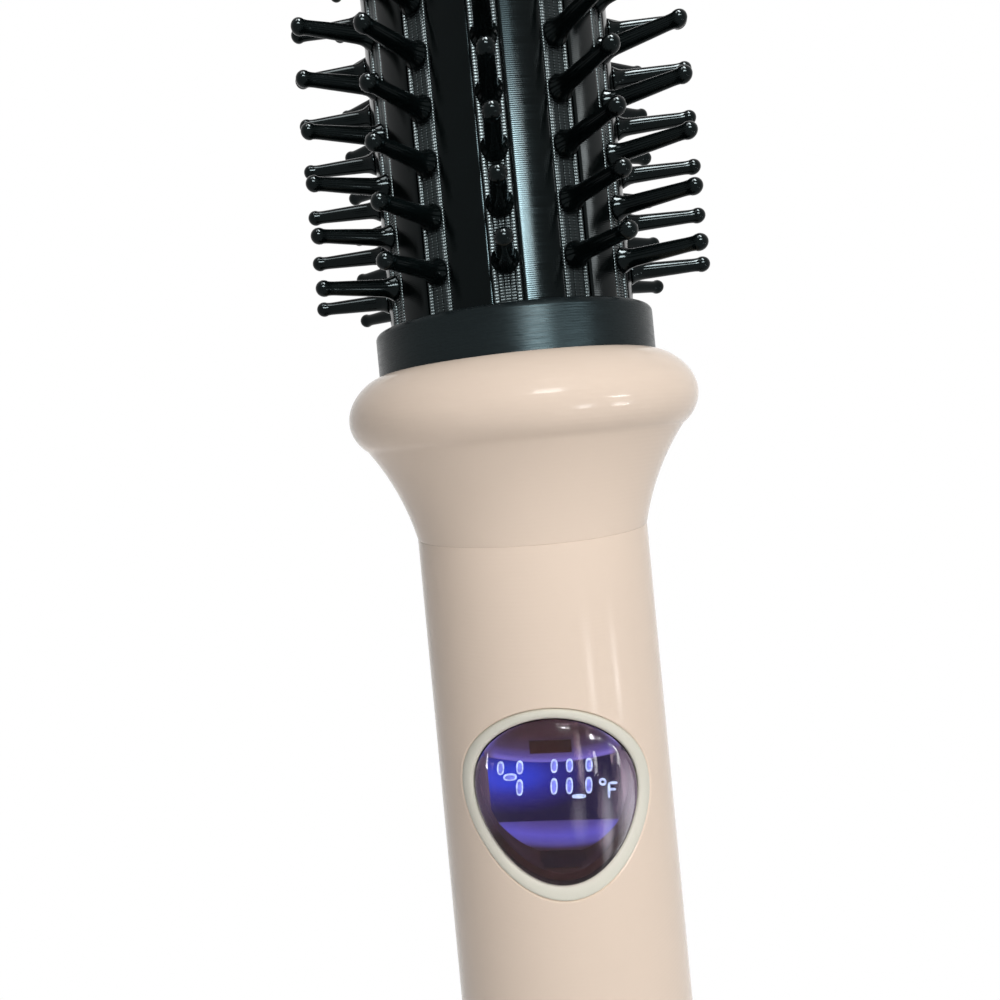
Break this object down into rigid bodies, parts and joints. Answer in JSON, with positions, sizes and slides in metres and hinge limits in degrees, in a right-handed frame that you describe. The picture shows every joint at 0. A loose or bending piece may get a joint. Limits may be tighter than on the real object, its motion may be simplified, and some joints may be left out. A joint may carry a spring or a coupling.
{
  "type": "curling iron brush",
  "caption": "Heated round brush with rows of ball-tipped pins on a fluted barrel, a flared bead neck, a plain round handle, a domed display window and buttons.",
  "frame": {"origin": "centre of the cord inlet's mouth, at the tail end of the handle", "axes": "+Z along the brush from the tail to the cool tip; -Y is the front, with the display window and the buttons; +X to the right seen from the front"},
  "size_m": [0.0526, 0.0526, 0.3442],
  "materials": {
    "handle_plastic": "smooth gloss, pale pink",
    "plug_plastic": "smooth gloss, pale pink",
    "collar_plastic": "turned matte, blue-grey black",
    "tip_plastic": "fine matte, blue-grey black",
    "heatproof_plastic": "dull black",
    "coated_barrel": "satin black coat over turned lines",
    "bristle_nylon": "gloss black",
    "bezel_plastic": "satin cream",
    "button_plastic": "satin cream",
    "smoked_lens": "smoky purple-brown, polished",
    "display_block": "dark",
    "lit_digits": "lit light blue",
    "circuit_board": "green board",
    "black_component": "moulded black",
    "plunger_plastic": "natural nylon",
    "gland_plastic": "matte black",
    "aluminium": "extruded",
    "ceramic": "dull grey ceramic",
    "electrode_metal": "plain sheet",
    "insulating_film": "amber film",
    "sensor_glass": "red-brown bead",
    "steel": "bright zinc",
    "brass": "plain brass",
    "lead_rubber": "white silicone sleeve"
  },
  "bodies": {
    "handle": {"barrel_collar": "collar_plastic", "barrel_core": "coated_barrel", "barrel_socket": "heatproof_plastic", "board_screws": "steel", "bristle_strip_01": "bristle_nylon", "bristle_strip_02": "bristle_nylon", "bristle_strip_03": "bristle_nylon", "bristle_strip_04": "bristle_nylon", "bristle_strip_05": "bristle_nylon", "bristle_strip_06": "bristle_nylon", "bristle_strip_07": "bristle_nylon", "bristle_strip_08": "bristle_nylon", "bristle_strip_09": "bristle_nylon", "bristle_strip_10": "bristle_nylon", "bristle_strip_11": "bristle_nylon", "bristle_strip_12": "bristle_nylon", "contact_wipers": "brass", "control_board": "circuit_board", "cool_tip": "tip_plastic", "display_bezel": "bezel_plastic", "display_digits": "lit_digits", "display_lens": "smoked_lens", "display_module": "display_block", "electrode_plate_front": "electrode_metal", "electrode_plate_rear": "electrode_metal", "handle_front_shell": "handle_plastic", "handle_rear_shell": "handle_plastic", "heater_block_front": "aluminium", "heater_block_rear": "aluminium", "heater_leads": "lead_rubber", "heater_triac": "black_component", "insulating_films": "insulating_film", "mains_capacitor": "black_component", "mains_leads": "lead_rubber", "neck_flare": "handle_plastic", "ptc_stones": "ceramic", "retainer_screws": "steel", "screw_plugs": "plug_plastic", "sensor_leads": "lead_rubber", "shell_screws": "steel", "switch_bodies": "black_component", "swivel_retainer": "plunger_plastic", "tail_cap": "handle_plastic", "temperature_sensor": "sensor_glass", "thermal_fuse": "electrode_metal", "tip_anchor": "aluminium", "tip_cover": "tip_plastic", "tip_insulator": "heatproof_plastic", "tip_screw": "steel"},
    "power_button": {"power_button": "button_plastic", "power_switch_plunger": "plunger_plastic"},
    "plus_button": {"plus_button": "button_plastic", "plus_switch_plunger": "plunger_plastic"},
    "minus_button": {"minus_button": "button_plastic", "minus_switch_plunger": "plunger_plastic"},
    "cord_swivel": {"swivel_gland": "gland_plastic", "slip_rings": "brass"}
  },
  "joints": [
    {"name": "power_button_press", "type": "slide", "parent": "handle", "child": "power_button", "axis": [0, 1, 0], "range_m": [0, 0.0005], "stiffness_N_per_m": 800, "springref_m": -0.0005},
    {"name": "plus_button_press", "type": "slide", "parent": "handle", "child": "plus_button", "axis": [0, 1, 0], "range_m": [0, 0.0005], "stiffness_N_per_m": 800, "springref_m": -0.0005},
    {"name": "minus_button_press", "type": "slide", "parent": "handle", "child": "minus_button", "axis": [0, 1, 0], "range_m": [0, 0.0005], "stiffness_N_per_m": 800, "springref_m": -0.0005},
    {"name": "cord_swivel_turn", "type": "hinge", "parent": "handle", "child": "cord_swivel", "pos_m": [0, 0, 0.005], "axis": [0, 0, 1], "continuous": true}
  ]
}
